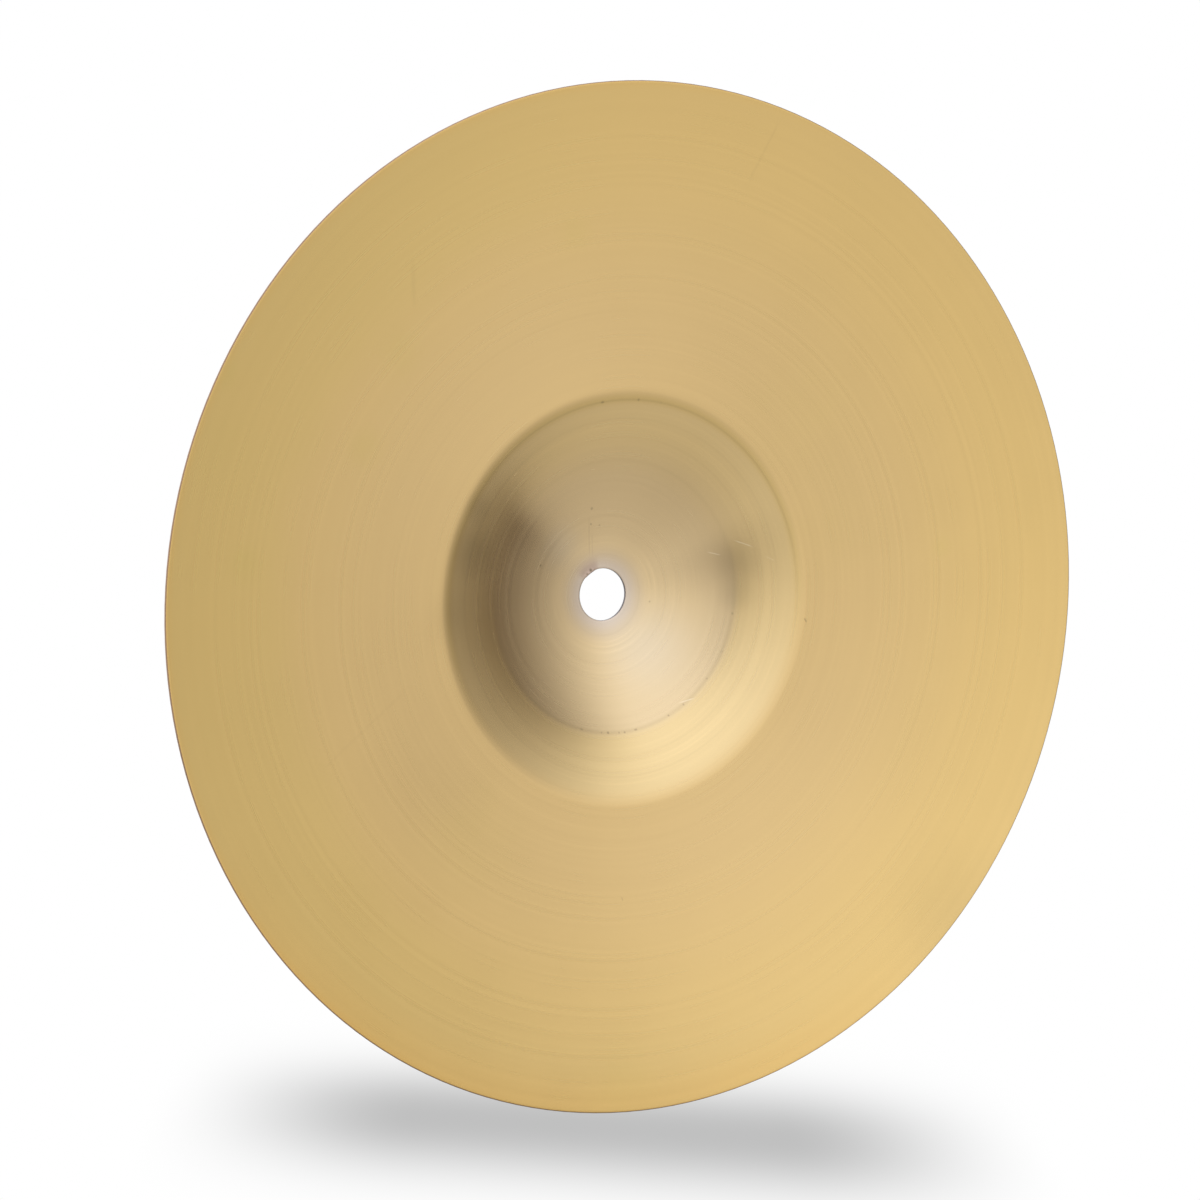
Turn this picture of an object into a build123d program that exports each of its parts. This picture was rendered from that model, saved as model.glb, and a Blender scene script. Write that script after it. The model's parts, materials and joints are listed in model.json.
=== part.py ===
"""A small crash cymbal: one dished disc of thin brass sheet, standing upright on its edge.

The cymbal's axis is the Y axis. Its hollow underside faces -Y, and the crown of its bell points
to +Y. The origin is on the axis, halfway through the wall of the centre hole. Millimetres.
"""

import os

from build123d import *

# Driving dimensions
cymbal_diameter = 254.0
sheet_thickness = 0.8
hole_diameter = 13.0
bell_diameter = 101.6  # where the bow and the bell would meet in a sharp corner
die_line_diameter = 69.0  # at the ring that the forming die leaves inside the bell

bow_rise = 7.7  # from the edge up to the crease
wall_rise = 5.6  # from the crease up to the die line
crown_rise = 7.15  # from the die line up to the hole

bow_swell = 1.05  # how far each stretch of the section stands off its chord
wall_flare = 0.3
crown_swell = 1.25

crease_radius = 18.0  # on the underside, which is the outside of that bend
edge_round = 0.3
trim_margin = 0.3  # sheet beyond the edge and inside the hole, cut away after pressing

# The underside's corners, as radius and height above the middle of the hole's wall
crown_height = -sheet_thickness / 2
die_line_height = crown_height - crown_rise
crease_height = die_line_height - wall_rise
edge_height = crease_height - bow_rise

edge_radius = cymbal_diameter / 2
hole_radius = hole_diameter / 2
blank_rim = (edge_radius + trim_margin, edge_height)
crease = (bell_diameter / 2, crease_height)
die_line = (die_line_diameter / 2, die_line_height)
blank_hole = (hole_radius - trim_margin, crown_height)

# Bow, bell and crown are pressed from one sheet, so the whole cymbal is a single piece
with BuildPart() as cymbal:
    with BuildSketch(Plane.XY) as section:
        with BuildLine():
            SagittaArc(blank_rim, crease, -bow_swell)
            SagittaArc(crease, die_line, wall_flare)
            SagittaArc(die_line, blank_hole, -crown_swell)
            offset(amount=sheet_thickness, side=Side.RIGHT, kind=Kind.INTERSECTION)
        make_face()

        # Trim the edge and punch the hole, both parallel to the axis
        with Locations(((hole_radius + edge_radius) / 2, 0)):
            Rectangle(edge_radius - hole_radius, cymbal_diameter, mode=Mode.INTERSECT)

        # Bend the crease: the corner on top first, then the one on the underside
        fillet(section.vertices().sort_by_distance(crease)[1], crease_radius - sheet_thickness)
        fillet(section.vertices().sort_by_distance(crease)[0], crease_radius)
        fillet(section.vertices().group_by(Axis.X)[-1], edge_round)
    revolve(axis=Axis.Y)

cymbal.part.label = "cymbal"
os.makedirs("parts", exist_ok=True)
export_step(cymbal.part, "parts/cymbal.step")
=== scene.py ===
"""A small crash cymbal of spun brass sheet, upright on its edge in a plain white studio.

The cymbal's axis is Y and its hollow underside faces -Y. The origin is the middle of the centre
hole. Lengths are in metres.
"""

import json
import math

import bpy
from bpy.props import FloatProperty, FloatVectorProperty, IntProperty, PointerProperty
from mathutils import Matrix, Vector


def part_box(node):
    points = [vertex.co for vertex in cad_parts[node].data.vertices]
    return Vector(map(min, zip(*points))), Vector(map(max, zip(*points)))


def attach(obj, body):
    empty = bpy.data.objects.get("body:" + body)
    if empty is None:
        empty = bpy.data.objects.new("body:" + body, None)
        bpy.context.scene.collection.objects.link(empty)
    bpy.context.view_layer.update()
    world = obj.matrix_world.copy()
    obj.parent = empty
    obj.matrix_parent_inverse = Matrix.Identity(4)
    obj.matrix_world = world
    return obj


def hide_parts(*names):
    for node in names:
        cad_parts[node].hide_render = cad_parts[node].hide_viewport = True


bl_info = {
    "name": "Spun Cymbal",
    "version": (1, 0, 0),
    "blender": (4, 5, 0),
    "location": "View3D > Sidebar > Cymbal",
    "description": "Builds a spun brass cymbal with its finish, and a plain studio around it",
    "category": "Object",
}

MM = 0.001

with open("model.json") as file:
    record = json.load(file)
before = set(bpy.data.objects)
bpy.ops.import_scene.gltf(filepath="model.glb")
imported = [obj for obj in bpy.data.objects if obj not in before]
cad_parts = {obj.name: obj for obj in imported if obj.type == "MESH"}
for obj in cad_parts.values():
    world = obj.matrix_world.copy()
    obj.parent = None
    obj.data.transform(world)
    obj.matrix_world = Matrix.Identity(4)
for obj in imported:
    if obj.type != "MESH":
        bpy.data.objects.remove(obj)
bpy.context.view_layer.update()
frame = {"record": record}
low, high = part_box("cymbal")
centre_hole = frame["record"]["mounts"][0]

cymbal_diameter = high.x - low.x
hole_diameter = 2 * MM * centre_hole["dims"]["r_mm"]
sheet_thickness = MM * centre_hole["dims"]["length_mm"]


class Wire:
    """A value that runs through a node tree. Arithmetic on it adds Math nodes to the tree."""

    def __init__(self, tree, socket=None):
        self.tree = tree
        self.socket = socket

    def node(self, kind, settings=None, sockets=None, output=0):
        """Adds a node, applies its settings, fills or links its sockets, returns one output."""
        made = self.tree.nodes.new(kind)
        for name, value in (settings or {}).items():
            setattr(made, name, value)
        for name, value in (sockets or {}).items():
            if isinstance(value, Wire):
                self.tree.links.new(value.socket, made.inputs[name])
            else:
                made.inputs[name].default_value = value
        return Wire(self.tree, made.outputs[output])

    def output(self, name):
        """Another output of the node that this wire comes from."""
        return Wire(self.tree, self.socket.node.outputs[name])

    def maths(self, operation, *others, clamp=False):
        """A Math node whose first operand is this wire."""
        operands = dict(enumerate((self, *others)))
        return self.node("ShaderNodeMath", {"operation": operation, "use_clamp": clamp}, operands)

    def __add__(self, other):
        return self.maths("ADD", other)

    def __sub__(self, other):
        return self.maths("SUBTRACT", other)

    def __mul__(self, other):
        return self.maths("MULTIPLY", other)

    def __truediv__(self, other):
        return self.maths("DIVIDE", other)

    def __rsub__(self, other):
        return self.node("ShaderNodeMath", {"operation": "SUBTRACT"}, {0: other, 1: self})

    def __rtruediv__(self, other):
        return self.node("ShaderNodeMath", {"operation": "DIVIDE"}, {0: other, 1: self})

    __radd__ = __add__
    __rmul__ = __mul__

    def rise(self, start, end):
        """A smooth step from 0 at start to 1 at end."""
        sockets = {"Value": self, "From Min": start, "From Max": end}
        return self.node("ShaderNodeMapRange", {"interpolation_type": "SMOOTHSTEP"}, sockets)

    def near(self, middle, reach):
        """1 where the wire equals middle, falling smoothly to 0 at reach from it."""
        return 1 - (self - middle).maths("ABSOLUTE").rise(0.0, reach)


def mix_colours(factor, first, second):
    """A colour mix. Each colour is a wire or a linear RGB triple."""
    sides = [c if isinstance(c, Wire) else (*c, 1.0) for c in (first, second)]
    # A Mix node has a factor at 0, its two colours at 6 and 7, and its colour output at 2
    sockets = {0: factor, 6: sides[0], 7: sides[1]}
    return factor.node("ShaderNodeMix", {"data_type": "RGBA"}, sockets, 2)


# The shape

# The two sides of the sheet read the ring noise this far apart, so that their rings differ
RING_SHIFT = 40.0
# Where the spun rings are deeper than on the rest of the sheet, and by how much
DEEP_RINGS_BY_HOLE = (10 * MM, 24 * MM, 1.2)
DEEP_RINGS_ON_WALL = (42 * MM, 8 * MM, 0.8)
# The warp: waves per metre, and the radius from which it is at its full height
WARP_WAVES = 14.0
WARP_FULL = 60 * MM
# The burr: the cosine of the turn from its middle to its ends, and where its lip and its overhang end
BURR_END = 0.955
BURR_LIP = (6.55 * MM, 7.3 * MM)
BURR_OVERHANG = (6.5 * MM, 6.9 * MM)
BURR_INWARD = 0.12 * MM
# The seams of the rolled-up grid are closed where its points are nearer than this
WELD = 0.001 * MM


class CymbalShape(bpy.types.PropertyGroup):
    """The sizes that the forming die and the lathe give the sheet."""

    diameter: FloatProperty(
        name="Diameter", description="Across the edge", default=cymbal_diameter, unit="LENGTH"
    )
    bell_diameter: FloatProperty(
        name="Bell Diameter",
        description="Across the corner where the bow and the bell would meet",
        default=101.6 * MM,
        unit="LENGTH",
    )
    die_line_diameter: FloatProperty(
        name="Die Line Diameter",
        description="Across the ring that the forming die leaves inside the bell",
        default=69 * MM,
        unit="LENGTH",
    )
    hole_diameter: FloatProperty(
        name="Hole Diameter", description="Of the centre hole", default=hole_diameter, unit="LENGTH"
    )
    thickness: FloatProperty(
        name="Thickness", description="Of the sheet", default=sheet_thickness, unit="LENGTH"
    )
    bow_rise: FloatProperty(
        name="Bow Rise", description="From the edge to the crease", default=7.7 * MM, unit="LENGTH"
    )
    wall_rise: FloatProperty(
        name="Wall Rise",
        description="From the crease to the die line",
        default=5.6 * MM,
        unit="LENGTH",
    )
    crown_rise: FloatProperty(
        name="Crown Rise",
        description="From the die line to the hole",
        default=7.15 * MM,
        unit="LENGTH",
    )
    bow_swell: FloatProperty(
        name="Bow Swell",
        description="How far the bow stands off its chord",
        default=1.05 * MM,
        unit="LENGTH",
    )
    wall_flare: FloatProperty(
        name="Wall Flare",
        description="How far the bell's wall sinks below its chord",
        default=0.3 * MM,
        unit="LENGTH",
    )
    crown_swell: FloatProperty(
        name="Crown Swell",
        description="How far the crown stands off its chord",
        default=1.25 * MM,
        unit="LENGTH",
    )
    crease_softness: FloatProperty(
        name="Crease Softness",
        description="Height over which the crease blends the bow into the wall",
        default=0.5 * MM,
        unit="LENGTH",
    )
    edge_round: FloatProperty(
        name="Edge Round",
        description="Depth of the rounding at the edge",
        default=0.3 * MM,
        unit="LENGTH",
    )
    hole_round: FloatProperty(
        name="Hole Round",
        description="Depth of the rounding inside the punched hole",
        default=0.14 * MM,
        unit="LENGTH",
    )
    ring_pitch: FloatProperty(
        name="Ring Pitch",
        description="Width of the spun rings",
        default=2.4 * MM,
        unit="LENGTH",
    )
    ring_depth: FloatProperty(
        name="Ring Depth",
        description="Depth of the spun rings",
        default=0.012 * MM,
        unit="LENGTH",
    )
    warp: FloatProperty(
        name="Warp",
        description="How far the thin sheet strays from a true round",
        default=0.10 * MM,
        unit="LENGTH",
    )
    burr: FloatProperty(
        name="Burr",
        description="Height of the burr that the punch leaves at the hole",
        default=0.16 * MM,
        unit="LENGTH",
    )
    burr_turn: FloatProperty(
        name="Burr Turn",
        description="Where round the hole the burr is",
        default=math.radians(124),
        unit="ROTATION",
    )
    seed: FloatProperty(name="Seed", description="Start of the random ring pattern", default=3.7)
    segments: IntProperty(name="Segments", description="Steps round the disc", default=180)
    underside_rows: IntProperty(
        name="Underside Rows", description="Rings of faces on the underside", default=300
    )
    top_rows: IntProperty(name="Top Rows", description="Rings of faces on top", default=220)
    rim_rows: IntProperty(
        name="Rim Rows", description="Rings of faces round the edge and in the hole", default=10
    )


def declare_inputs(tree, shape):
    """Gives the tree one named input for each size. Returns the sockets by property name."""
    sockets = {}
    for name, definition in shape.bl_rna.properties.items():
        if definition.type in ("FLOAT", "INT"):
            whole = definition.type == "INT"
            kind = "NodeSocketInt" if whole else "NodeSocketFloat"
            sockets[name] = tree.interface.new_socket(
                name=definition.name, in_out="INPUT", socket_type=kind
            )
    sockets["material"] = tree.interface.new_socket(
        name="Material", in_out="INPUT", socket_type="NodeSocketMaterial"
    )
    tree.interface.new_socket(name="Geometry", in_out="OUTPUT", socket_type="NodeSocketGeometry")
    return sockets


def stretch(radius, inner, outer, inner_height, outer_height, swell):
    """The height of one stretch of the section: its chord, and a parabola that swells off it."""
    along = (radius - inner) / (outer - inner)
    arch = along.maths("ADD", 0.0, clamp=True)
    return inner_height + (outer_height - inner_height) * along + 4 * swell * arch * (1 - arch)


def underside_height(radius, size):
    """The height of the underside over a radius, from the middle of the hole's wall."""
    hole, die_line = size["hole_diameter"] / 2, size["die_line_diameter"] / 2
    bell, edge = size["bell_diameter"] / 2, size["diameter"] / 2
    crown_height = size["thickness"] / -2
    die_height = crown_height - size["crown_rise"]
    crease_height = die_height - size["wall_rise"]
    edge_height = crease_height - size["bow_rise"]

    crown = stretch(radius, hole, die_line, crown_height, die_height, size["crown_swell"])
    flare = size["wall_flare"] * -1
    wall = stretch(radius, die_line, bell, die_height, crease_height, flare)
    bow = stretch(radius, bell, edge, crease_height, edge_height, size["bow_swell"])
    outside = wall.maths("SMOOTH_MAX", bow, size["crease_softness"])
    beyond_die_line = radius.maths("GREATER_THAN", die_line)
    return crown + (outside - crown) * beyond_die_line


def build_tree(shape):
    """The node tree that turns a grid into the cymbal: rows go round its section, columns round
    its axis."""
    tree = bpy.data.node_groups.new("spun_disc", "GeometryNodeTree")
    sockets = declare_inputs(tree, shape)
    start = Wire(tree).node("NodeGroupInput")
    size = {name: start.output(socket.name) for name, socket in sockets.items()}

    rows = size["underside_rows"] + size["top_rows"] + 2 * size["rim_rows"]
    grid_sockets = {
        "Size X": 1.0,
        "Size Y": 1.0,
        "Vertices X": rows + 1,
        "Vertices Y": size["segments"] + 1,
    }
    grid = start.node("GeometryNodeMeshGrid", sockets=grid_sockets)
    on_grid = start.node("GeometryNodeInputPosition")
    across = start.node("ShaderNodeSeparateXYZ", sockets={0: on_grid})
    row = (across + 0.5) * rows
    turn = (across.output("Y") + 0.5) * math.tau

    # The rows run along the underside to the edge, round it, back along the top and down the hole.
    # Each share goes from 0 to 1 over one of those four stretches.
    shares = []
    reached = 0.0
    for count in ("underside_rows", "rim_rows", "top_rows", "rim_rows"):
        shares.append(((row - reached) / size[count]).maths("ADD", 0.0, clamp=True))
        reached = size[count] + reached
    underside, edge, top, hole = shares

    inner = size["hole_diameter"] / 2 + size["hole_round"]
    outer = size["diameter"] / 2 - size["edge_round"]
    edge_bulge = (edge * math.pi).maths("SINE").maths("ABSOLUTE").maths("SQRT")
    hole_bulge = (hole * math.pi).maths("SINE").maths("ABSOLUTE").maths("SQRT")
    radius = inner + (outer - inner) * (underside - top)
    radius = radius + size["edge_round"] * edge_bulge - size["hole_round"] * hole_bulge
    side = (hole * math.pi).maths("COSINE") - (edge * math.pi).maths("COSINE") - 1

    # Spun rings: noise along the radius, deeper round the hole and on the bell's wall
    ring_at = radius / size["ring_pitch"] + size["seed"] + side * RING_SHIFT
    noise = {"noise_dimensions": "1D"}
    rings = start.node("ShaderNodeTexNoise", noise, {"W": ring_at, "Detail": 3.0, "Scale": 1.0})
    full, gone, by_hole = DEEP_RINGS_BY_HOLE
    middle, reach, on_wall = DEEP_RINGS_ON_WALL
    deeper = 1 + by_hole * (1 - radius.rise(full, gone)) + on_wall * radius.near(middle, reach)
    ring_height = (rings - 0.5) * (size["ring_depth"] * deeper)

    # The sheet strays a little from a true round, most at its edge
    cosine, sine = turn.maths("COSINE"), turn.maths("SINE")
    x, z = radius * cosine, radius * sine
    spot = start.node("ShaderNodeCombineXYZ", sockets={"X": x, "Y": size["seed"], "Z": z})
    waves = {"Vector": spot, "Scale": WARP_WAVES, "Detail": 0.0}
    strayed = start.node("ShaderNodeTexNoise", sockets=waves) - 0.5
    warp_height = strayed * size["warp"] * 2 * radius.rise(0.0, WARP_FULL)

    # The burr: a lip pushed out of the underside on one side of the hole
    away = (turn - size["burr_turn"]).maths("COSINE")
    lip = away.rise(BURR_END, 1.0) * (1 - radius.rise(*BURR_LIP))
    lip_height = size["burr"] * lip * -1
    lip_inward = BURR_INWARD * lip * (1 - radius.rise(*BURR_OVERHANG))

    height = underside_height(radius, size) + size["thickness"] * (side + 1) / 2
    height = height + ring_height + warp_height + lip_height
    drawn_in = radius - lip_inward
    place = {"X": drawn_in * cosine, "Y": height, "Z": drawn_in * sine}
    position = start.node("ShaderNodeCombineXYZ", sockets=place)

    # `top_side` tells the finish which side a point is on. It is worked out from the rows of the
    # flat grid, so it is stored before the points move.
    top_side = {"Geometry": grid, "Name": "top_side", "Value": (side + 1) / 2}
    marked = start.node("GeometryNodeStoreNamedAttribute", {"data_type": "FLOAT"}, top_side)
    moved = {"Geometry": marked, "Position": position}
    placed = start.node("GeometryNodeSetPosition", sockets=moved)
    seams = {"Geometry": placed, "Distance": WELD}
    closed = start.node("GeometryNodeMergeByDistance", sockets=seams)
    smooth = start.node("GeometryNodeSetShadeSmooth", sockets={"Geometry": closed})
    real = start.node("GeometryNodeRealizeInstances", sockets={"Geometry": smooth})
    coated = {"Geometry": real, "Material": size["material"]}
    painted = start.node("GeometryNodeSetMaterial", sockets=coated)
    end = tree.nodes.new("NodeGroupOutput")
    tree.links.new(painted.socket, end.inputs["Geometry"])
    return tree, sockets


def spin_disc(shape, material):
    """Runs the tree on an empty mesh and returns its result as a plain mesh object."""
    tree, sockets = build_tree(shape)
    blank = bpy.data.objects.new("blank", bpy.data.meshes.new("blank"))
    bpy.context.scene.collection.objects.link(blank)
    modifier = blank.modifiers.new("Spin", "NODES")
    modifier.node_group = tree
    for name, socket in sockets.items():
        modifier[socket.identifier] = material if name == "material" else getattr(shape, name)
    depsgraph = bpy.context.evaluated_depsgraph_get()
    mesh = bpy.data.meshes.new_from_object(blank.evaluated_get(depsgraph))
    bpy.data.objects.remove(blank)
    mesh.name = "cymbal_disc"
    disc = bpy.data.objects.new("cymbal_disc", mesh)
    bpy.context.scene.collection.objects.link(disc)
    return disc


# The finish


class CymbalFinish(bpy.types.PropertyGroup):
    """Colours, wear, painted shade and a painted sheen of the brass."""

    bow_colour: FloatVectorProperty(
        name="Bow Colour",
        description="Brass of the bow, next to the bell",
        default=(0.466, 0.318, 0.132),
        size=3,
        subtype="COLOR",
    )
    edge_colour: FloatVectorProperty(
        name="Edge Colour",
        description="Brass of the bow, near the edge",
        default=(0.494, 0.334, 0.121),
        size=3,
        subtype="COLOR",
    )
    wall_colour: FloatVectorProperty(
        name="Wall Colour",
        description="Brass of the bell's wall",
        default=(0.505, 0.362, 0.162),
        size=3,
        subtype="COLOR",
    )
    crown_colour: FloatVectorProperty(
        name="Crown Colour",
        description="Brass of the bell's crown",
        default=(0.478, 0.349, 0.180),
        size=3,
        subtype="COLOR",
    )
    hole_colour: FloatVectorProperty(
        name="Hole Colour",
        description="Greyed brass round the hole",
        default=(0.395, 0.325, 0.255),
        size=3,
        subtype="COLOR",
    )
    # Painted sheen: a greyer tint laid on the crown in patches
    grey_sheen_colour: FloatVectorProperty(
        name="Grey Colour",
        description="Thin grey film on the crown",
        default=(0.465, 0.385, 0.265),
        size=3,
        subtype="COLOR",
    )
    cut_colour: FloatVectorProperty(
        name="Cut Colour",
        description="Bare metal at the cut edge",
        default=(0.270, 0.165, 0.095),
        size=3,
        subtype="COLOR",
    )
    punched_colour: FloatVectorProperty(
        name="Punched Colour",
        description="Dark metal of the punched hole's wall",
        default=(0.120, 0.104, 0.098),
        size=3,
        subtype="COLOR",
    )
    # Dirt, and the painted shade patches on the underside, share this colour
    dirt_and_shade_colour: FloatVectorProperty(
        name="Dirt Colour",
        description="Dirt in the crease, the die line and the scratches",
        default=(0.085, 0.062, 0.030),
        size=3,
        subtype="COLOR",
    )
    tarnish_colour: FloatVectorProperty(
        name="Tarnish Colour",
        description="Yellow-green tarnish in the stains",
        default=(0.430, 0.322, 0.092),
        size=3,
        subtype="COLOR",
    )
    crease_colour: FloatVectorProperty(
        name="Crease Colour",
        description="Brown-gold tarnish along the crease",
        default=(0.430, 0.297, 0.098),
        size=3,
        subtype="COLOR",
    )
    torn_colour: FloatVectorProperty(
        name="Torn Colour",
        description="Dark metal where the punch tore the hole's edge",
        default=(0.24, 0.14, 0.10),
        size=3,
        subtype="COLOR",
    )
    scratch_colour: FloatVectorProperty(
        name="Scratch Colour",
        description="Bright metal in fresh scratches",
        default=(0.80, 0.70, 0.50),
        size=3,
        subtype="COLOR",
    )
    warm_colour: FloatVectorProperty(
        name="Warm Colour",
        description="Warmer brass at the edge, where the sheet was heated",
        default=(0.520, 0.325, 0.100),
        size=3,
        subtype="COLOR",
    )
    roughness: FloatProperty(
        name="Roughness", description="Of the satin surface", default=0.262, subtype="FACTOR"
    )
    brushing: FloatProperty(
        name="Brushing",
        description="How far the spun lines stretch a highlight along the radius",
        default=0.88,
        subtype="FACTOR",
    )
    ring_tone: FloatProperty(
        name="Ring Tone",
        description="How far the spun rings vary in tone",
        default=0.10,
        subtype="FACTOR",
    )
    ring_cut: FloatProperty(
        name="Ring Cut",
        description="Depth of the fine spun lines",
        default=0.0004 * MM,
        unit="LENGTH",
    )
    stain: FloatProperty(
        name="Stain", description="Strength of the stains", default=0.32, subtype="FACTOR"
    )
    seed: FloatProperty(name="Seed", description="Start of the random marks", default=11.3)


# Where the brass changes along the radius. Each pair is where a change starts and where it is done.
SHARP_DIE_LINE, SOFT_DIE_LINE = (33 * MM, 36 * MM), (28 * MM, 43 * MM)
BELL_TO_BOW = (47 * MM, 52 * MM)
BOW_TO_EDGE = (60 * MM, 120 * MM)
HOLE_HALO = (6.2 * MM, 15 * MM)
RINGS_BY_HOLE = (9 * MM, 27 * MM)
OUTER_TARNISH = (88 * MM, 103 * MM)
WARM_RIM, WARM_LIP = (114 * MM, 127 * MM), (124.5 * MM, 127 * MM)
TORN_EDGE = (6.6 * MM, 11.0 * MM)
TRIMMED_EDGE = (126.70 * MM, 126.85 * MM)
PUNCHED_WALL = (6.50 * MM, 6.62 * MM)

# Bands round the disc. Each is its radius and how far it reaches to both sides.
RINGS_ON_WALL = (43 * MM, 7 * MM)
CREASE_BAND, CREASE_DIRT = (49.4 * MM, 1.7 * MM), (49.1 * MM, 0.5 * MM)
DIE_LINE_RING, DIE_LINE_DASHES = (34.0 * MM, 0.8 * MM), (34.0 * MM, 0.4 * MM)

# Marks on the underside. Each place is a radius in millimetres and a turn in degrees from +X.
SCRATCHES = (
    # start, end, width in millimetres, strength
    ((28.8, 20.3), (32.2, 16.2), 0.15, 0.40),
    ((35.6, 21.3), (39.9, 16.0), 0.15, 0.45),
    ((42.0, 12.0), (44.5, 9.5), 0.12, 0.20),
    ((33.0, 303.0), (34.8, 310.5), 0.15, 0.30),
)
HAIRLINES = (
    ((9.4, 114.0), (21.6, 104.0), 0.22, 0.15),
    ((9.0, 109.0), (17.0, 103.0), 0.20, 0.11),
    ((104.5, 125.8), (93.0, 130.2), 1.0, 0.05),
    ((126.0, 71.5), (104.0, 73.2), 0.6, 0.05),
    ((51.6, 352.0), (52.6, 350.8), 0.3, 0.50),
    ((74.0, 268.0), (75.2, 268.4), 0.25, 0.2),
    ((60.0, 196.0), (96.0, 204.0), 0.6, 0.03),
)
STAINS = (
    # place, reach in millimetres, strength
    ((88.5, 136.0), 9.0, 0.65),
    ((83.0, 151.5), 7.0, 0.8),
    ((106.0, 173.0), 7.0, 0.7),
    ((126.0, 152.5), 6.0, 0.8),
    ((118.0, 160.0), 15.0, 0.3),
    ((113.0, 137.0), 16.0, 0.1),
    ((91.5, 100.5), 7.0, 0.5),
    ((70.5, 232.0), 22.0, 0.45),
    ((66.0, 40.0), 26.0, 0.35),
    ((60.0, 15.0), 20.0, 0.3),
    ((91.0, 6.0), 4.0, 0.6),
    ((122.0, 268.0), 14.0, 0.6),
)
# Painted sheen: greyer patches on the crown
PAINTED_GREY_SHEEN = (
    # place, reach in millimetres, strength
    ((18.0, 136.0), 9.0, 0.25),
    ((17.0, 312.0), 17.0, 0.40),
)
# Painted shade: dark patches on the bell's wall, beside the die line, on the bow and along the lower
# right edge
PAINTED_SHADE_PATCHES = (
    # place, reach in millimetres, strength
    ((43.0, 163.0), 10.0, 0.22),
    ((47.0, 150.0), 6.0, 0.14),
    ((35.5, 10.0), 8.0, 0.13),
    ((34.5, 358.0), 6.0, 0.13),
    ((49.0, 183.0), 9.0, 0.08),
    ((66.0, 216.0), 28.0, 0.05),
    ((124.0, 318.0), 26.0, 0.09),
)
PITS = (
    # place, width in millimetres, strength
    ((22.3, 102.0), 0.55, 0.38),
    ((18.4, 103.6), 0.4, 0.5),
    ((20.5, 156.5), 0.5, 0.5),
    ((13.2, 350.0), 0.45, 0.3),
    ((17.6, 96.0), 0.35, 0.4),
    ((33.9, 266.0), 0.5, 0.35),
    ((34.1, 274.0), 0.45, 0.4),
    ((7.1, 119.0), 0.7, 0.85),
    ((6.9, 130.0), 0.5, 0.6),
)


def on_disc(place):
    """The X and Z, in metres, of a radius in millimetres and a turn in degrees."""
    radius, turn = MM * place[0], math.radians(place[1])
    return radius * math.cos(turn), radius * math.sin(turn)


class Surface:
    """Where a shaded point lies on the disc, as wires that the finish is built from."""

    def __init__(self, tree, seed):
        place = Wire(tree).node("ShaderNodeTexCoord", output="Object")
        self.x = place.node("ShaderNodeSeparateXYZ", sockets={0: place})
        self.z = self.x.output("Z")
        self.radius = (self.x * self.x + self.z * self.z).maths("SQRT")
        self.turn = self.z.maths("ARCTAN2", self.x)
        self.seed = seed
        stored = {"attribute_type": "GEOMETRY", "attribute_name": "top_side"}
        top = place.node("ShaderNodeAttribute", stored, output="Fac")
        self.underneath = 1 - top.rise(0.3, 0.5)

    def arc(self, middle, half, soft):
        """1 within half of a turn and 0 beyond half + soft of it, all in degrees."""
        facing = (self.turn - math.radians(middle)).maths("COSINE")
        return facing.rise(math.cos(math.radians(half + soft)), math.cos(math.radians(half)))

    def rings(self, pitch):
        """Noise in true circles about the axis, of about one pitch in width."""
        sockets = {"W": self.radius / pitch + self.seed, "Scale": 1.0, "Detail": 2.0}
        noise = {"noise_dimensions": "1D"}
        return self.x.node("ShaderNodeTexNoise", noise, sockets) - 0.5

    def fading(self, width, arcs):
        """0 to 1, slowly changing: over a width along the radius, and into arcs round the axis."""
        spread = arcs / self.radius
        spot = {"X": self.radius / width + self.seed, "Y": self.x * spread, "Z": self.z * spread}
        vector = self.x.node("ShaderNodeCombineXYZ", sockets=spot)
        sockets = {"Vector": vector, "Scale": 1.0, "Detail": 1.0}
        return self.x.node("ShaderNodeTexNoise", sockets=sockets).rise(0.3, 0.7)

    def patches(self, size):
        """Cloudy noise, with patches of about a size in metres."""
        spot = {"X": self.x, "Y": self.seed, "Z": self.z}
        vector = self.x.node("ShaderNodeCombineXYZ", sockets=spot)
        sockets = {"Vector": vector, "Scale": 1.0 / size, "Detail": 2.0}
        return self.x.node("ShaderNodeTexNoise", sockets=sockets) - 0.5

    def specks(self, pitch, share):
        """1 in short random dashes round the disc, and 0 in the rest."""
        sockets = {"W": self.turn / pitch + self.seed, "Scale": 1.0, "Detail": 1.0}
        noise = self.x.node("ShaderNodeTexNoise", {"noise_dimensions": "1D"}, sockets)
        soft_end = 0.06
        return noise.rise(1 - share, 1 - share + soft_end)

    def spot(self, place, reach):
        """1 at a place, falling smoothly to 0 at reach from it."""
        x, z = on_disc(place)
        x, z = self.x - x, self.z - z
        return 1 - (x * x + z * z).maths("SQRT").rise(0.0, reach)

    def stroke(self, start, end, width):
        """A thin straight line that fades at both of its ends."""
        (x0, z0), (x1, z1) = on_disc(start), on_disc(end)
        length = math.hypot(x1 - x0, z1 - z0)
        run_x, run_z = (x1 - x0) / length, (z1 - z0) / length
        x, z = self.x - x0, self.z - z0
        along = x * run_x + z * run_z
        across = x * -run_z + z * run_x
        inside = along.rise(0.0, 0.3 * length) * (1 - along.rise(0.7 * length, length))
        return across.near(0.0, width) * inside


def total(wires):
    """The sum of several wires, held to the range 0 to 1."""
    first, *others = wires
    for wire in others:
        first = first + wire
    return first.maths("ADD", 0.0, clamp=True)


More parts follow.
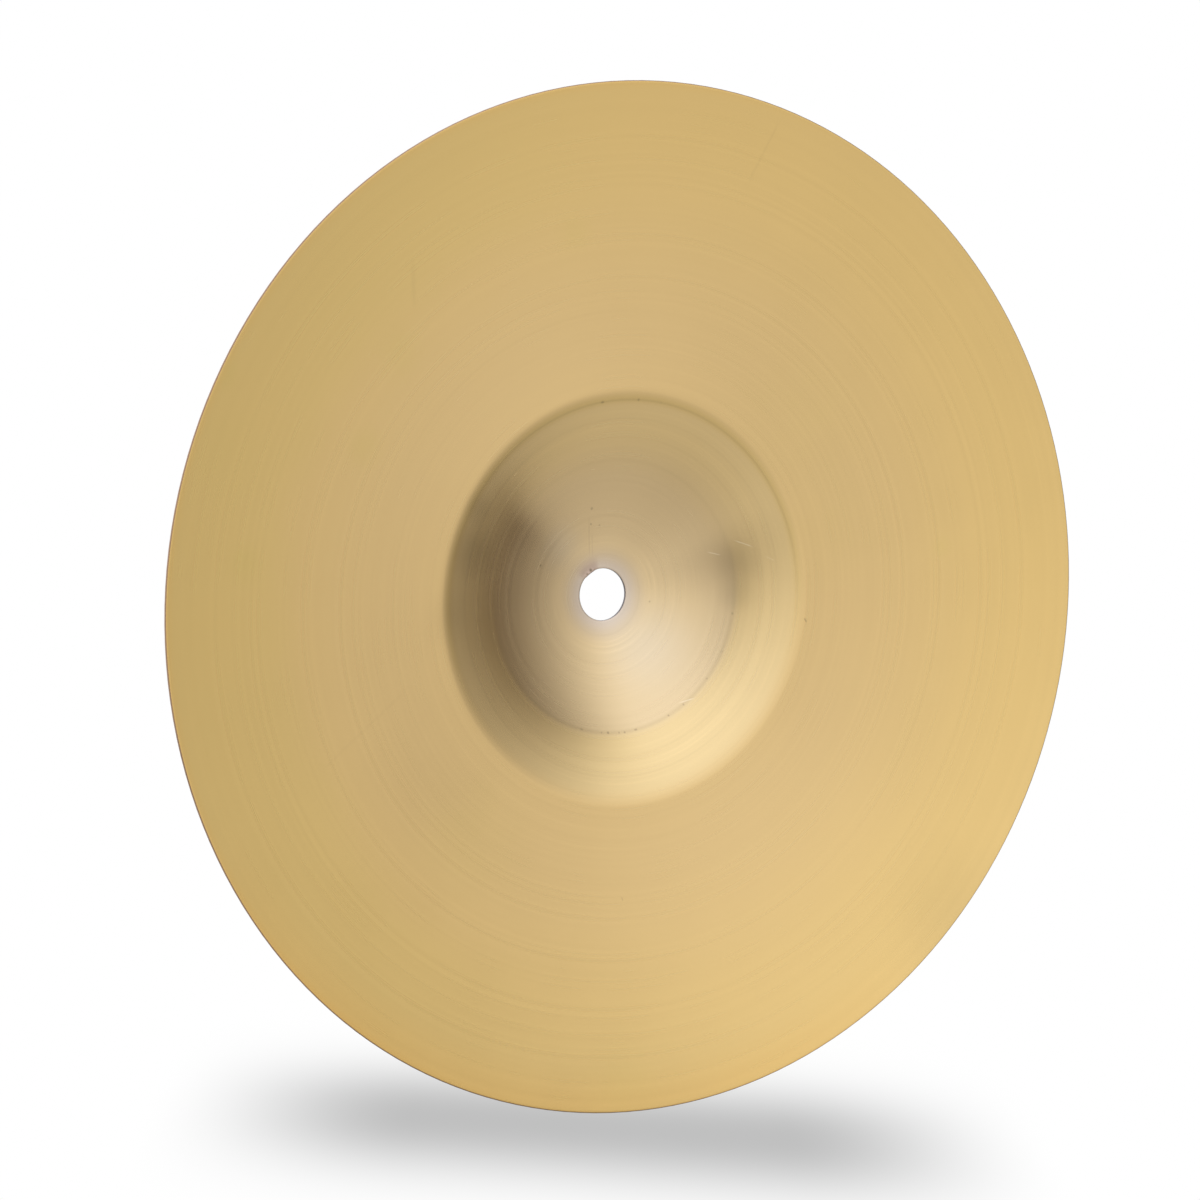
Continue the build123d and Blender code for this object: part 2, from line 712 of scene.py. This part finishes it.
def brass_colour(at, finish):
    """The brass by region: greyer inside the bell, yellower towards the edge."""
    radius = at.radius
    outward = radius.rise(*BOW_TO_EDGE)
    bow = mix_colours(outward, tuple(finish.bow_colour), tuple(finish.edge_colour))
    # The tone changes sharply at the die line, but softly across the upper part of the bell
    sharp, soft = radius.rise(*SHARP_DIE_LINE), radius.rise(*SOFT_DIE_LINE)
    on_wall = sharp + (soft - sharp) * at.arc(100, 60, 45)
    bell = mix_colours(on_wall, tuple(finish.crown_colour), tuple(finish.wall_colour))
    past_crease = radius.rise(*BELL_TO_BOW)
    colour = mix_colours(past_crease, bell, bow)
    halo = (1 - radius.rise(*HOLE_HALO)).maths("POWER", 2.0) * 0.85
    colour = mix_colours(halo, colour, tuple(finish.hole_colour))

    # Spun rings, clearest round the hole and on the bell's wall
    by_hole = 1 - radius.rise(*RINGS_BY_HOLE)
    mid_wall = radius.near(*RINGS_ON_WALL)
    strength = finish.ring_tone * (0.32 + by_hole + 0.8 * mid_wall)
    fine = at.rings(0.9 * MM) * at.fading(4 * MM, 1.0)
    broad = at.rings(3.2 * MM)
    cloudy = at.patches(28 * MM)
    tone = fine * 1.6 + broad * 0.8 + cloudy * 0.5
    return scale_colour(colour, 1 + tone * strength)


def scale_colour(colour, factor):
    """A colour times a value."""
    settings = {"operation": "SCALE"}
    return factor.node("ShaderNodeVectorMath", settings, {0: colour, "Scale": factor})


def add_wear(at, finish, colour):
    """Stains, dirt, scratches and painted shade on the underside, over the bare brass.

    Arcs are given by their middle, half their width and their soft ends, in degrees.
    """
    radius, under = at.radius, at.underneath
    dirt_and_shade, tarnish = tuple(finish.dirt_and_shade_colour), tuple(finish.tarnish_colour)

    # Yellow-green stains, and a wavy border of the same tarnish along the outer left
    spots = [at.spot(place, MM * reach) * strength for place, reach, strength in STAINS]
    blotches = total(spots) * (0.75 + at.patches(6 * MM))
    wander = radius + at.patches(40 * MM) * (26 * MM)
    outer_left = wander.rise(*OUTER_TARNISH) * at.arc(172, 45, 45) * 0.5
    colour = mix_colours((blotches + outer_left) * finish.stain * under, colour, tarnish)

    # Warmer brass along the lower edge, and in a thin lip along the left edge
    warm_rim = radius.rise(*WARM_RIM) * at.arc(258, 18, 40) * 0.6
    warm_lip = radius.rise(*WARM_LIP) * at.arc(160, 60, 50) * 0.5
    colour = mix_colours(total([warm_rim, warm_lip]) * under, colour, tuple(finish.warm_colour))

    # The crease: a brown-gold band, with a thin broken line of dirt inside it
    band = radius.near(*CREASE_BAND) * at.arc(100, 70, 60) * 0.45
    line = radius.near(*CREASE_DIRT) * at.arc(88, 52, 50)
    line = line * (0.12 + 0.34 * at.specks(0.055, 0.30) * at.arc(97, 14, 25))
    colour = mix_colours(band * under, colour, tuple(finish.crease_colour))
    colour = mix_colours(line * under, colour, dirt_and_shade)

    # The die line: a thin broken ring of dirt inside the bell
    ring = radius.near(*DIE_LINE_RING) * (0.03 + 0.08 * at.arc(265, 60, 40))
    dashes = radius.near(*DIE_LINE_DASHES) * at.specks(0.047, 0.36) * at.arc(305, 45, 20) * 0.30
    colour = mix_colours(total([ring, dashes]) * under, colour, dirt_and_shade)

    # Where the punch tore the hole's edge, and a painted grey sheen on the crown
    torn = at.arc(122, 8, 18) * (1 - radius.rise(*TORN_EDGE)) * 0.5
    colour = mix_colours(torn * under, colour, tuple(finish.torn_colour))
    painted_sheen = [at.spot(place, MM * reach) * strength for place, reach, strength in PAINTED_GREY_SHEEN]
    colour = mix_colours(total(painted_sheen) * under, colour, tuple(finish.grey_sheen_colour))

    hairlines = [at.stroke(start, end, MM * wide) * depth for start, end, wide, depth in HAIRLINES]
    pits = [at.spot(place, MM * width) * depth for place, width, depth in PITS]
    colour = mix_colours(total(hairlines + pits) * under, colour, dirt_and_shade)
    scratches = [at.stroke(start, end, MM * wide) * depth for start, end, wide, depth in SCRATCHES]
    colour = mix_colours(total(scratches) * under, colour, tuple(finish.scratch_colour))
    # Painted shade: dark patches on the bell's wall, beside the die line, on the bow and along the
    # lower right edge
    painted_shade = [at.spot(place, MM * reach) * strength for place, reach, strength in PAINTED_SHADE_PATCHES]
    return mix_colours(total(painted_shade) * under, colour, dirt_and_shade)


def brass_material(finish):
    """Spun brass: satin, brushed in rings, worn on its underside, with painted shade and a painted
    sheen there, and a bare cut edge.
    """
    material = bpy.data.materials.new("spun_brass")
    material.use_nodes = True
    tree = material.node_tree
    tree.nodes.clear()
    at = Surface(tree, finish.seed)
    radius = at.radius

    colour = add_wear(at, finish, brass_colour(at, finish))
    # The bare metal of the trimmed edge and of the punched hole
    outside = radius.rise(*TRIMMED_EDGE)
    inside = 1 - radius.rise(*PUNCHED_WALL)
    colour = mix_colours(outside, colour, tuple(finish.cut_colour))
    colour = mix_colours(inside, colour, tuple(finish.punched_colour))

    roughness = finish.roughness + 0.06 * at.rings(1.3 * MM) + 0.04 * at.patches(18 * MM)
    fine = at.rings(0.6 * MM) * (0.3 + at.fading(3 * MM, 0.8))
    cut = {"Height": fine * finish.ring_cut, "Distance": 1.0, "Strength": 1.0}
    bump = at.x.node("ShaderNodeBump", sockets=cut)

    # The tangent runs round the axis. A quarter turn from it, highlights stretch along the radius.
    tangent = at.x.node("ShaderNodeTangent", {"direction_type": "RADIAL", "axis": "Y"})
    quarter_turn = 0.25
    sockets = {
        "Base Color": colour,
        "Metallic": 1.0,
        "Roughness": roughness,
        "Anisotropic": finish.brushing,
        "Anisotropic Rotation": quarter_turn,
        "Tangent": tangent,
        "Normal": bump,
    }
    shader = at.x.node("ShaderNodeBsdfPrincipled", sockets=sockets)
    end = tree.nodes.new("ShaderNodeOutputMaterial")
    tree.links.new(shader.socket, end.inputs["Surface"])
    return material


class CYMBAL_OT_make_disc(bpy.types.Operator):
    """Spin the cymbal's disc from its section and give it its brass finish"""

    bl_idname = "cymbal.make_disc"
    bl_label = "Make Disc"

    def execute(self, context):
        scene = context.scene
        disc = spin_disc(scene.cymbal_shape, brass_material(scene.cymbal_finish))
        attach(disc, "root")
        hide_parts("cymbal")
        return {"FINISHED"}


# The studio

# The glows and the dark gap between them, in degrees. Each pair is where a glow, or the gap, starts
# and where it is full, or for a right side or a top, where it starts to fade and where it is gone.
KEY_LEFT, KEY_RIGHT, KEY_BASE = (-21.2, -17.4), (23.4, 73.1), (-65.9, 19.5)
COOL_RIGHT, COOL_BASE = (20.0, 50.0), (-10.0, 20.0)
REAR_SIDES, REAR_BASE = (85.0, 135.0), (-60.0, 20.0)
SIDE_LEFT, SIDE_RIGHT, SIDE_BASE = (-140.0, -110.0), (-52.0, -36.0), (-75.0, -10.0)
SIDE_STRENGTH = 0.85
GAP_LEFT, GAP_RIGHT, GAP_BASE, GAP_TOP = (-50.0, -38.0), (-23.5, -0.4), (-27.0, -24.0), (-24.9, 3.9)

# The pool of shade on the floor, in metres, along and across a line that faces the camera
SHADE_LEFT, SHADE_RIGHT = (-0.1147, -0.045), (0.0426, 0.1089)
SHADE_SLANT = 0.287
SHADE_FORWARD = 0.0382
SHADE_REACH = 0.06
SHADE_FALLOFF = 2.2
FLOOR_CORNERS = 96


class StudioSettings(bpy.types.PropertyGroup):
    """The camera, the floor and the lights."""

    azimuth: FloatProperty(
        name="Azimuth",
        description="Where the camera stands round the cymbal, from straight in front of it",
        default=math.radians(-28.92),
        unit="ROTATION",
    )
    elevation: FloatProperty(
        name="Elevation",
        description="How far the camera looks down",
        default=math.radians(5.26),
        unit="ROTATION",
    )
    distance: FloatProperty(
        name="Distance", description="From the camera to the cymbal", default=1.0754, unit="LENGTH"
    )
    aim_left: FloatProperty(
        name="Aim Left",
        description="How far left of the cymbal's centre the camera aims",
        default=10.51 * MM,
        unit="LENGTH",
    )
    aim_above: FloatProperty(
        name="Aim Above",
        description="How far above the cymbal's centre the camera aims",
        default=0.25 * MM,
        unit="LENGTH",
    )
    lens: FloatProperty(
        name="Lens", description="Focal length of the camera", default=131.46, unit="CAMERA"
    )
    dim_room: FloatVectorProperty(
        name="Dim Room",
        description="What the brass reflects beyond the glows and the floor",
        default=(0.10, 0.055, 0.025),
        size=3,
        subtype="COLOR",
    )
    key_glow: FloatVectorProperty(
        name="Key Glow",
        description="The large soft light in front of the cymbal",
        default=(2.035, 2.13, 2.32),
        size=3,
        soft_max=4.0,
        subtype="COLOR",
    )
    cool_glow: FloatVectorProperty(
        name="Cool Glow",
        description="The cooler upper left of the large soft light",
        default=(1.92, 2.07, 2.53),
        size=3,
        soft_max=4.0,
        subtype="COLOR",
    )
    rear_glow: FloatVectorProperty(
        name="Rear Glow",
        description="The large soft lights behind the cymbal and at its left",
        default=(1.65, 1.72, 1.86),
        size=3,
        soft_max=4.0,
        subtype="COLOR",
    )
    floor_radius: FloatProperty(
        name="Floor Radius", description="Of the round floor", default=0.307, unit="LENGTH"
    )
    shade_depth: FloatProperty(
        name="Shade Depth",
        description="How dark the floor is under the cymbal",
        default=0.474,
        subtype="FACTOR",
    )


def face(direction):
    """The rotation that points a camera along a direction, with no roll."""
    return direction.to_track_quat("-Z", "Y").to_euler()


def heading(azimuth, elevation):
    """The unit vector towards an azimuth, counted from -Y towards +X, and an elevation."""
    level = math.cos(elevation)
    return Vector((math.sin(azimuth) * level, -math.cos(azimuth) * level, math.sin(elevation)))


def add_camera(studio):
    """A long lens at the cymbal's height, aimed a little left of its centre."""
    data = bpy.data.cameras.new("camera")
    data.lens = studio.lens
    back = heading(studio.azimuth, studio.elevation)
    right = Vector((math.cos(studio.azimuth), math.sin(studio.azimuth), 0.0))
    aim = Vector((0.0, low.y, studio.aim_above)) - right * studio.aim_left
    camera = bpy.data.objects.new("camera", data)
    camera.location = aim + back * studio.distance
    camera.rotation_euler = face(-back)
    bpy.context.scene.collection.objects.link(camera)
    bpy.context.scene.camera = camera


def add_world(studio):
    """White behind the cymbal for the camera. The brass sees soft glows that fade to a dim room."""
    world = bpy.data.worlds.new("studio")
    world.use_nodes = True
    tree = world.node_tree
    tree.nodes.clear()
    direction = Wire(tree).node("ShaderNodeTexCoord", output="Generated")
    x = direction.node("ShaderNodeSeparateXYZ", sockets={0: direction})
    azimuth = x.maths("ARCTAN2", x.output("Y") * -1.0) * math.degrees(1.0)
    elevation = x.output("Z").maths("ARCSINE") * math.degrees(1.0)

    key = azimuth.rise(*KEY_LEFT) * (1 - azimuth.rise(*KEY_RIGHT)) * elevation.rise(*KEY_BASE)
    rear = azimuth.maths("ABSOLUTE").rise(*REAR_SIDES) * elevation.rise(*REAR_BASE)
    side = azimuth.rise(*SIDE_LEFT) * (1 - azimuth.rise(*SIDE_RIGHT)) * elevation.rise(*SIDE_BASE)
    gap = azimuth.rise(*GAP_LEFT) * (1 - azimuth.rise(*GAP_RIGHT))
    gap = gap * elevation.rise(*GAP_BASE) * (1 - elevation.rise(*GAP_TOP))
    behind = total([rear, side * SIDE_STRENGTH])
    room = mix_colours(behind, tuple(studio.dim_room), tuple(studio.rear_glow))
    cool = elevation.rise(*COOL_BASE) * (1 - azimuth.rise(*COOL_RIGHT))
    light = mix_colours(cool, tuple(studio.key_glow), tuple(studio.cool_glow))
    room = mix_colours(key, room, light)
    room = mix_colours(gap, room, tuple(studio.dim_room))
    seen = direction.node("ShaderNodeLightPath", output="Is Camera Ray")
    colour = mix_colours(seen, room, (1.0, 1.0, 1.0))
    background = seen.node("ShaderNodeBackground", sockets={"Color": colour, "Strength": 1.0})
    end = tree.nodes.new("ShaderNodeOutputWorld")
    tree.links.new(background.socket, end.inputs["Surface"])
    bpy.context.scene.world = world


def add_floor(studio):
    """A round white floor that glows evenly, with a soft pool of shade where the cymbal stands."""
    radius = studio.floor_radius
    points = [(0.0, 0.0, low.z)]
    for step in range(FLOOR_CORNERS):
        turn = math.tau * step / FLOOR_CORNERS
        points.append((radius * math.cos(turn), radius * math.sin(turn), low.z))
    faces = [(0, 1 + step, 1 + (step + 1) % FLOOR_CORNERS) for step in range(FLOOR_CORNERS)]
    mesh = bpy.data.meshes.new("floor")
    mesh.from_pydata(points, [], faces)

    material = bpy.data.materials.new("white_floor")
    material.use_nodes = True
    tree = material.node_tree
    tree.nodes.clear()
    start = Wire(tree)
    place = start.node("ShaderNodeTexCoord", output="Object")
    facing = {"Vector": place, "Rotation": (0.0, 0.0, studio.azimuth)}
    turned = start.node("ShaderNodeMapping", {"vector_type": "TEXTURE"}, facing)
    along = start.node("ShaderNodeSeparateXYZ", sockets={0: turned})
    across = along.output("Y") + SHADE_SLANT * along + SHADE_FORWARD
    length = along.rise(*SHADE_LEFT) * (1 - along.rise(*SHADE_RIGHT))
    spread = (across / SHADE_REACH).maths("ABSOLUTE").maths("POWER", SHADE_FALLOFF)
    shade = length * (spread * -1.0).maths("EXPONENT") * studio.shade_depth
    colour = mix_colours(shade, (1.0, 1.0, 1.0), (0.0, 0.0, 0.0))
    glow = start.node("ShaderNodeEmission", sockets={"Color": colour, "Strength": 1.0})
    end = tree.nodes.new("ShaderNodeOutputMaterial")
    tree.links.new(glow.socket, end.inputs["Surface"])
    mesh.materials.append(material)
    floor = bpy.data.objects.new("floor", mesh)
    bpy.context.scene.collection.objects.link(floor)


class CYMBAL_OT_make_studio(bpy.types.Operator):
    """Add the camera, the white surround with its soft glows, and the floor"""

    bl_idname = "cymbal.make_studio"
    bl_label = "Make Studio"

    def execute(self, context):
        studio = context.scene.cymbal_studio
        add_camera(studio)
        add_world(studio)
        add_floor(studio)
        context.scene.view_settings.view_transform = "Standard"
        return {"FINISHED"}


class CYMBAL_PT_build(bpy.types.Panel):
    """Lists the steps that build the cymbal and its studio"""

    bl_label = "Spun Cymbal"
    bl_idname = "CYMBAL_PT_build"
    bl_space_type = "VIEW_3D"
    bl_region_type = "UI"
    bl_category = "Cymbal"

    def draw(self, context):
        for step in STEPS:
            self.layout.operator(step.bl_idname)


STEPS = (CYMBAL_OT_make_disc, CYMBAL_OT_make_studio)
CLASSES = (CymbalShape, CymbalFinish, StudioSettings, *STEPS, CYMBAL_PT_build)


def register():
    for item in CLASSES:
        bpy.utils.register_class(item)
    bpy.types.Scene.cymbal_shape = PointerProperty(type=CymbalShape)
    bpy.types.Scene.cymbal_finish = PointerProperty(type=CymbalFinish)
    bpy.types.Scene.cymbal_studio = PointerProperty(type=StudioSettings)


def unregister():
    del bpy.types.Scene.cymbal_studio
    del bpy.types.Scene.cymbal_finish
    del bpy.types.Scene.cymbal_shape
    for item in reversed(CLASSES):
        bpy.utils.unregister_class(item)


def main():
    """Builds the cymbal and its studio."""
    register()
    bpy.ops.cymbal.make_disc()
    bpy.ops.cymbal.make_studio()


if __name__ == "__main__":
    main()
